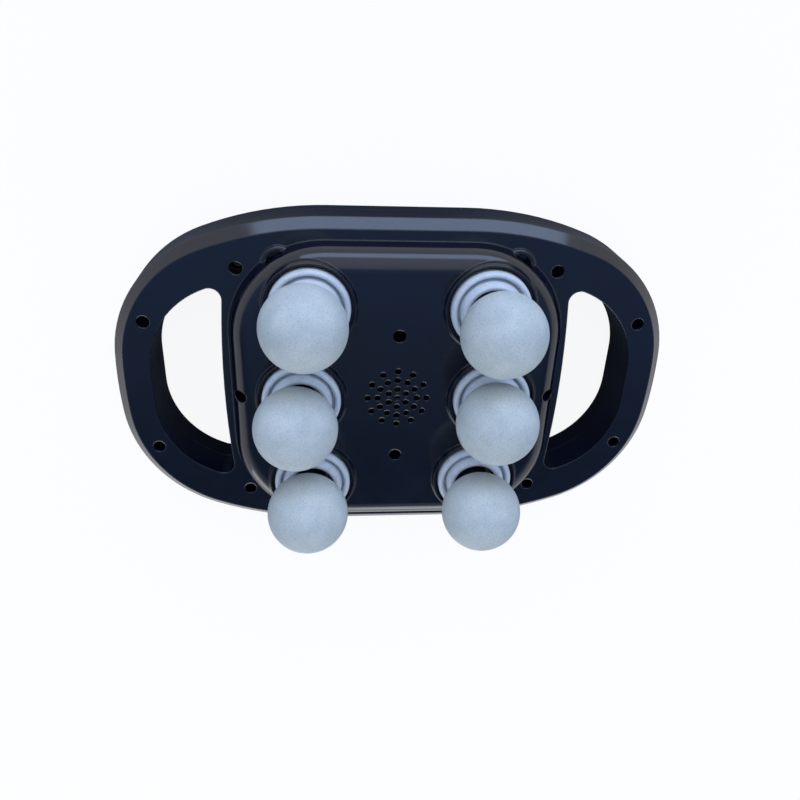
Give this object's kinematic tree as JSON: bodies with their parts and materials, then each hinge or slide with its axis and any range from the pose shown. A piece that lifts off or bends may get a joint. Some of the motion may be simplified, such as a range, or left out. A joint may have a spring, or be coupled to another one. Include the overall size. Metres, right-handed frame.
{
  "type": "multi-head massager",
  "caption": "Oval two-grip body massager whose soft ball heads circle on cranks driven through a gear train by one motor.",
  "frame": {"origin": "middle of the flat of the back, on the motor axis", "axes": "+X across the two grips to the right grip of the picture, +Y up the picture, +Z along the head axes"},
  "size_m": [0.324, 0.2, 0.1143],
  "materials": {
    "front_shell": "polished navy",
    "rear_shell": "polished navy",
    "screw_steel": "zinc plated",
    "frame_plastic": "moulded",
    "bush_bronze": "sintered",
    "shaft_steel": "ground",
    "motor_steel": "zinc plated",
    "fan_plastic": "moulded",
    "gear_plastic": "acetal",
    "dark_gear_plastic": "acetal",
    "cell_wrap": "shrink sleeve",
    "board": "solder mask",
    "switch_plastic": "moulded",
    "chip_plastic": "moulded",
    "panel_gloss": "polished",
    "display_glass": "polished",
    "socket_steel": "stamped",
    "stem_plastic": "acetal",
    "ball_rubber": "matt, pale, speckled",
    "boot_rubber": "pale silicone",
    "key_plastic": "satin"
  },
  "bodies": {
    "casing": {"front_shell": "front_shell", "rear_shell": "rear_shell", "case_screws": "screw_steel", "gear_plate": "frame_plastic", "spindle_bushes": "bush_bronze", "idler_pins": "shaft_steel", "chassis_screws": "screw_steel", "motor_can": "motor_steel", "battery_cells": "cell_wrap", "battery_tray": "frame_plastic", "control_board": "board", "key_switches": "switch_plastic", "board_chips": "chip_plastic", "key_panel": "panel_gloss", "display_window": "display_glass", "charge_socket": "socket_steel", "head_boot_top_left": "boot_rubber", "head_boot_middle_left": "boot_rubber", "head_boot_bottom_left": "boot_rubber", "head_boot_top_right": "boot_rubber", "head_boot_middle_right": "boot_rubber", "head_boot_bottom_right": "boot_rubber"},
    "rotor": {"motor_rotor": "motor_steel", "motor_shaft": "shaft_steel", "drive_pinion": "dark_gear_plastic", "cooling_fan": "fan_plastic"},
    "idler_body_upper_left": {"idler_upper_left": "gear_plastic"},
    "idler_body_lower_left": {"idler_lower_left": "gear_plastic"},
    "idler_body_relay_left": {"idler_relay_left": "dark_gear_plastic"},
    "idler_body_upper_right": {"idler_upper_right": "gear_plastic"},
    "idler_body_lower_right": {"idler_lower_right": "gear_plastic"},
    "idler_body_relay_right": {"idler_relay_right": "dark_gear_plastic"},
    "crank_top_left": {"crank_gear_top_left": "gear_plastic", "crank_shaft_top_left": "shaft_steel"},
    "head_top_left": {"head_stem_top_left": "stem_plastic", "head_ball_top_left": "ball_rubber"},
    "crank_middle_left": {"crank_gear_middle_left": "gear_plastic", "crank_shaft_middle_left": "shaft_steel"},
    "head_middle_left": {"head_stem_middle_left": "stem_plastic", "head_ball_middle_left": "ball_rubber"},
    "crank_bottom_left": {"crank_gear_bottom_left": "gear_plastic", "crank_shaft_bottom_left": "shaft_steel"},
    "head_bottom_left": {"head_stem_bottom_left": "stem_plastic", "head_ball_bottom_left": "ball_rubber"},
    "crank_top_right": {"crank_gear_top_right": "gear_plastic", "crank_shaft_top_right": "shaft_steel"},
    "head_top_right": {"head_stem_top_right": "stem_plastic", "head_ball_top_right": "ball_rubber"},
    "crank_middle_right": {"crank_gear_middle_right": "gear_plastic", "crank_shaft_middle_right": "shaft_steel"},
    "head_middle_right": {"head_stem_middle_right": "stem_plastic", "head_ball_middle_right": "ball_rubber"},
    "crank_bottom_right": {"crank_gear_bottom_right": "gear_plastic", "crank_shaft_bottom_right": "shaft_steel"},
    "head_bottom_right": {"head_stem_bottom_right": "stem_plastic", "head_ball_bottom_right": "ball_rubber"},
    "power_key_body": {"power_key": "key_plastic"},
    "mode_key_body": {"mode_key": "key_plastic"},
    "faster_key_body": {"faster_key": "key_plastic"},
    "slower_key_body": {"slower_key": "key_plastic"}
  },
  "joints": [
    {"name": "motor_spin", "type": "hinge", "parent": "casing", "child": "rotor", "pos_m": [0, 0, 0.045], "axis": [0, 0, 1], "continuous": true},
    {"name": "idler_upper_left_spin", "type": "hinge", "parent": "casing", "child": "idler_body_upper_left", "pos_m": [-0.0523, 0.02787, 0.045], "axis": [0, 0, 1], "continuous": true},
    {"name": "idler_lower_left_spin", "type": "hinge", "parent": "casing", "child": "idler_body_lower_left", "pos_m": [-0.0523, -0.02787, 0.045], "axis": [0, 0, 1], "continuous": true},
    {"name": "idler_relay_left_spin", "type": "hinge", "parent": "casing", "child": "idler_body_relay_left", "pos_m": [-0.0255, 0, 0.045], "axis": [0, 0, 1], "continuous": true},
    {"name": "idler_upper_right_spin", "type": "hinge", "parent": "casing", "child": "idler_body_upper_right", "pos_m": [0.0523, 0.02787, 0.045], "axis": [0, 0, 1], "continuous": true},
    {"name": "idler_lower_right_spin", "type": "hinge", "parent": "casing", "child": "idler_body_lower_right", "pos_m": [0.0523, -0.02787, 0.045], "axis": [0, 0, 1], "continuous": true},
    {"name": "idler_relay_right_spin", "type": "hinge", "parent": "casing", "child": "idler_body_relay_right", "pos_m": [0.0255, 0, 0.045], "axis": [0, 0, 1], "continuous": true},
    {"name": "crank_top_left_spin", "type": "hinge", "parent": "casing", "child": "crank_top_left", "pos_m": [-0.0496, 0.05574, 0.045], "axis": [0, 0, 1], "continuous": true},
    {"name": "head_top_left_turn", "type": "hinge", "parent": "crank_top_left", "child": "head_top_left", "pos_m": [-0.05181, 0.05691, 0.07], "axis": [0, 0, 1], "continuous": true},
    {"name": "crank_middle_left_spin", "type": "hinge", "parent": "casing", "child": "crank_middle_left", "pos_m": [-0.055, 0, 0.045], "axis": [0, 0, 1], "continuous": true},
    {"name": "head_middle_left_turn", "type": "hinge", "parent": "crank_middle_left", "child": "head_middle_left", "pos_m": [-0.05723, -0.00113, 0.07], "axis": [0, 0, 1], "continuous": true},
    {"name": "crank_bottom_left_spin", "type": "hinge", "parent": "casing", "child": "crank_bottom_left", "pos_m": [-0.0496, -0.05574, 0.045], "axis": [0, 0, 1], "continuous": true},
    {"name": "head_bottom_left_turn", "type": "hinge", "parent": "crank_bottom_left", "child": "head_bottom_left", "pos_m": [-0.05167, -0.05714, 0.07], "axis": [0, 0, 1], "continuous": true},
    {"name": "crank_top_right_spin", "type": "hinge", "parent": "casing", "child": "crank_top_right", "pos_m": [0.0496, 0.05574, 0.045], "axis": [0, 0, 1], "continuous": true},
    {"name": "head_top_right_turn", "type": "hinge", "parent": "crank_top_right", "child": "head_top_right", "pos_m": [0.05085, 0.05357, 0.07], "axis": [0, 0, 1], "continuous": true},
    {"name": "crank_middle_right_spin", "type": "hinge", "parent": "casing", "child": "crank_middle_right", "pos_m": [0.055, 0, 0.045], "axis": [0, 0, 1], "continuous": true},
    {"name": "head_middle_right_turn", "type": "hinge", "parent": "crank_middle_right", "child": "head_middle_right", "pos_m": [0.05265, 0.00085, 0.07], "axis": [0, 0, 1], "continuous": true},
    {"name": "crank_bottom_right_spin", "type": "hinge", "parent": "casing", "child": "crank_bottom_right", "pos_m": [0.0496, -0.05574, 0.045], "axis": [0, 0, 1], "continuous": true},
    {"name": "head_bottom_right_turn", "type": "hinge", "parent": "crank_bottom_right", "child": "head_bottom_right", "pos_m": [0.04879, -0.0581, 0.07], "axis": [0, 0, 1], "continuous": true},
    {"name": "power_key_press", "type": "slide", "parent": "casing", "child": "power_key_body", "axis": [0, 0, 1], "range_m": [0, 0.0009], "stiffness_N_per_m": 1200},
    {"name": "mode_key_press", "type": "slide", "parent": "casing", "child": "mode_key_body", "axis": [0, 0, 1], "range_m": [0, 0.0009], "stiffness_N_per_m": 1200},
    {"name": "faster_key_press", "type": "slide", "parent": "casing", "child": "faster_key_body", "axis": [0, 0, 1], "range_m": [0, 0.0009], "stiffness_N_per_m": 1200},
    {"name": "slower_key_press", "type": "slide", "parent": "casing", "child": "slower_key_body", "axis": [0, 0, 1], "range_m": [0, 0.0009], "stiffness_N_per_m": 1200}
  ],
  "couplings": [
    {"joint": "idler_upper_left_spin", "follows": "motor_spin", "ratio": -0.71429},
    {"joint": "idler_lower_left_spin", "follows": "motor_spin", "ratio": -0.71429},
    {"joint": "idler_relay_left_spin", "follows": "motor_spin", "ratio": -0.64516},
    {"joint": "idler_upper_right_spin", "follows": "motor_spin", "ratio": -0.71429},
    {"joint": "idler_lower_right_spin", "follows": "motor_spin", "ratio": -0.71429},
    {"joint": "idler_relay_right_spin", "follows": "motor_spin", "ratio": -0.64516},
    {"joint": "crank_top_left_spin", "follows": "motor_spin", "ratio": 0.71429},
    {"joint": "head_top_left_turn", "follows": "motor_spin", "ratio": -0.71429},
    {"joint": "crank_middle_left_spin", "follows": "motor_spin", "ratio": 0.71429},
    {"joint": "head_middle_left_turn", "follows": "motor_spin", "ratio": -0.71429},
    {"joint": "crank_bottom_left_spin", "follows": "motor_spin", "ratio": 0.71429},
    {"joint": "head_bottom_left_turn", "follows": "motor_spin", "ratio": -0.71429},
    {"joint": "crank_top_right_spin", "follows": "motor_spin", "ratio": 0.71429},
    {"joint": "head_top_right_turn", "follows": "motor_spin", "ratio": -0.71429},
    {"joint": "crank_middle_right_spin", "follows": "motor_spin", "ratio": 0.71429},
    {"joint": "head_middle_right_turn", "follows": "motor_spin", "ratio": -0.71429},
    {"joint": "crank_bottom_right_spin", "follows": "motor_spin", "ratio": 0.71429},
    {"joint": "head_bottom_right_turn", "follows": "motor_spin", "ratio": -0.71429}
  ]
}
